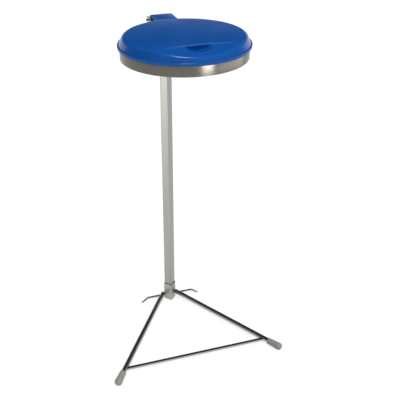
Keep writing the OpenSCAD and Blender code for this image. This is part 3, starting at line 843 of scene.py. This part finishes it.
def dish_mesh():
    """The dish, its outer and inner skin joined at the foot of the lip."""
    work = bmesh.new()
    angles = spoke_angles()
    grids = [[], []]
    for a in angles:
        for grid, points in zip(grids, skin_columns(a)):
            grid.append([work.verts.new((x, -y, z)) for x, y, z in points])
    count = len(angles)
    for grid, top_z in zip(grids, (EDGE_H + CROWN_H, EDGE_H + CROWN_H - LID_WALL)):
        top = work.verts.new((0, 0, top_z))
        for i in range(count):
            here, there = grid[i], grid[(i + 1) % count]
            for k in range(len(here) - 1):
                work.faces.new((here[k], here[k + 1], there[k + 1], there[k]))
            work.faces.new((here[-1], top, there[-1]))
    for i in range(count):
        j = (i + 1) % count
        work.faces.new((grids[0][i][0], grids[0][j][0], grids[1][j][0], grids[1][i][0]))
    bmesh.ops.recalc_face_normals(work, faces=work.faces)
    return mesh_from(work, "lid_dish")


lid = new_piece("lid_moulding", dish_mesh())
print("dish", len(lid.data.polygons), "faces")


# %% [markdown]
# The hinge tongue is a hollow box with a round end about the pin. What would reach
# inside the dish is cut away before it is joined on, so the moulding stays one shell.
# Its edges are rounded first. The pin bore is cut last, straight through.

# %% Build the tongue and join it
TONGUE_R = 15.0
TONGUE_W = 69.0
TONGUE_EDGE = 2.2
PIN_Z = TONGUE_R
PIN_BORE_R = 4.08
TONGUE_FRONT = wall_r * 0.8
TONGUE_STEPS = 30
TONGUE_EDGE_STEPS = 4
TONGUE_EDGE_ANGLE = math.radians(60)
HOLLOW_BELOW = 5.0
BORE_LENGTH = 200.0
BORE_SIDES = 64
PLUG_STEPS = 180
PLUG_BELOW = 1.0
PLUG_TIP_R = 0.5
pin_y = ((pin_low.y + pin_high.y) / 2 - lid_centre.y) / MM


def combine(piece, tool, operation):
    """Joins a tool to a piece or cuts it away, and removes the tool."""
    step = piece.modifiers.new("combine", "BOOLEAN")
    step.object = tool
    step.operation = operation
    step.solver = "MANIFOLD"
    apply_modifiers(piece)
    bpy.data.objects.remove(tool)


def carried_outline(name, outline, half_width):
    """A solid: an outline in (y, z) carried across X."""
    work = bmesh.new()
    sides = [[work.verts.new((x, y, z)) for y, z in outline] for x in (-half_width, half_width)]
    work.faces.new(sides[0])
    work.faces.new(list(reversed(sides[1])))
    for i in range(len(outline)):
        j = (i + 1) % len(outline)
        work.faces.new((sides[0][j], sides[0][i], sides[1][i], sides[1][j]))
    bmesh.ops.recalc_face_normals(work, faces=work.faces)
    return new_piece(name, mesh_from(work, name))


def tongue_outline(inset):
    """Side view of the tongue: a flat top, a round end and a lower edge level with the lip."""
    radius = TONGUE_R - inset
    end = arc((pin_y, PIN_Z), radius, math.pi / 2, -math.pi / 2, TONGUE_STEPS)
    return [(TONGUE_FRONT, 2 * TONGUE_R - inset)] + end + [(TONGUE_FRONT, 0.0)]


def rod(name, radius, length, y, z):
    """A cylinder along X."""
    work = bmesh.new()
    bmesh.ops.create_cone(work, cap_ends=True, segments=BORE_SIDES, radius1=radius, radius2=radius,
                          depth=length, matrix=Matrix.Rotation(math.radians(90), 4, "Y"))
    bmesh.ops.translate(work, verts=work.verts, vec=(0, y, z))
    return new_piece(name, mesh_from(work, name))


def dish_plug():
    """A solid that fills the inside of the dish, up to the middle of its wall."""
    inset = LID_WALL / 2
    foot_r, _, shoulder = shoulder_arc(0.0, inset)
    section = [(LID_R - inset, -PLUG_BELOW), (LID_R - inset, LIP_H - inset), (foot_r, LIP_H - inset)]
    section += shoulder + [(PLUG_TIP_R, EDGE_H + CROWN_H - inset)]
    work = bmesh.new()
    turns = [2 * math.pi * k / PLUG_STEPS for k in range(PLUG_STEPS)]
    rings = [[work.verts.new((r * math.cos(t), r * math.sin(t), z)) for t in turns] for r, z in section]
    for lower, upper in zip(rings, rings[1:]):
        for k in range(PLUG_STEPS):
            j = (k + 1) % PLUG_STEPS
            work.faces.new((lower[k], lower[j], upper[j], upper[k]))
    work.faces.new(list(reversed(rings[0])))
    work.faces.new(rings[-1])
    return new_piece("dish_plug", mesh_from(work, "dish_plug"))


def make_tongue():
    """The hollow tongue, cut where it would reach inside the dish."""
    tongue = carried_outline("tongue", tongue_outline(0), TONGUE_W / 2)
    rounding = tongue.modifiers.new("edge", "BEVEL")
    rounding.width = TONGUE_EDGE
    rounding.segments = TONGUE_EDGE_STEPS
    rounding.limit_method = "ANGLE"
    rounding.angle_limit = TONGUE_EDGE_ANGLE
    apply_modifiers(tongue)
    hollow = tongue_outline(LID_WALL)
    hollow[-1] = (TONGUE_FRONT, -HOLLOW_BELOW)
    hollow[-2] = (pin_y, -HOLLOW_BELOW)
    hollow.insert(-2, (pin_y, PIN_Z - TONGUE_R + LID_WALL))
    combine(tongue, carried_outline("tongue_hollow", hollow, TONGUE_W / 2 - LID_WALL), "DIFFERENCE")
    combine(tongue, dish_plug(), "DIFFERENCE")
    return tongue


combine(lid, make_tongue(), "UNION")
combine(lid, rod("pin_bore", PIN_BORE_R, BORE_LENGTH, pin_y, PIN_Z), "DIFFERENCE")
lid.data.transform(Matrix.Translation(lid_centre) @ Matrix.Scale(MM, 4))
lid.data.materials.clear()
lid.data.materials.append(blue_polypropylene)
shade_by_angle(lid.data)
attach(lid, "lid")
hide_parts("lid")
print("lid", len(lid.data.polygons), "faces; size", [round(v, 4) for v in lid.dimensions])


# %% [markdown]
# Five lamps give the highlights. A tall one at the front right draws the upright streak
# on the ring, and a wide one fills its right side. One at the left lightens the left face
# of the post. One overhead lights the lid's rounded front edge, and a strip behind draws
# the thin line along the crease. Each is shaded so that it reaches only the pieces named,
# as a studio flag would do, and none adds matt light, so the colours stay as they are
# written.

# %% Highlights
def highlight_lamp(name, location, toward, size, power, pieces):
    """A lamp that shows only as a highlight on the pieces given."""
    lamp = bpy.data.lights.new(name, "AREA")
    lamp.shape = "RECTANGLE"
    lamp.size, lamp.size_y = size
    lamp.energy = power
    placed = studio_object(name, lamp, location, toward)
    placed.visible_diffuse = False
    reached = bpy.data.collections.new(name + "_reaches")
    for piece in pieces:
        reached.objects.link(piece)
    placed.light_linking.receiver_collection = reached


def finished(*node_names):
    """The finished copies of CAD nodes."""
    return [bpy.data.objects[node_name + "_finished"] for node_name in node_names]


highlight_lamp("lamp_front_right", (0.9, -2.3, 0.9), (0, 0, 0.8), (0.75, 1.6), 43,
               finished("ring_band"))
highlight_lamp("lamp_left", (-2.2, -0.6, 0.2), (0, 0.1, 0.5), (1.2, 1.2), 14,
               finished("post", "base_sleeve"))
highlight_lamp("lamp_right", (2.2, -0.8, 0.5), (0, 0, 0.8), (2.6, 0.9), 16,
               finished("ring_band"))
highlight_lamp("lamp_overhead", (0, -0.2, 3.2), (0, -0.2, 1.0), (0.5, 0.25), 14,
               [lid] + finished("foot_cap_left", "foot_cap_right"))
highlight_lamp("strip_behind", (1.12, 2.9, 2.95), (0, -0.15, 1.13), (0.65, 0.12), 0.6, [lid])
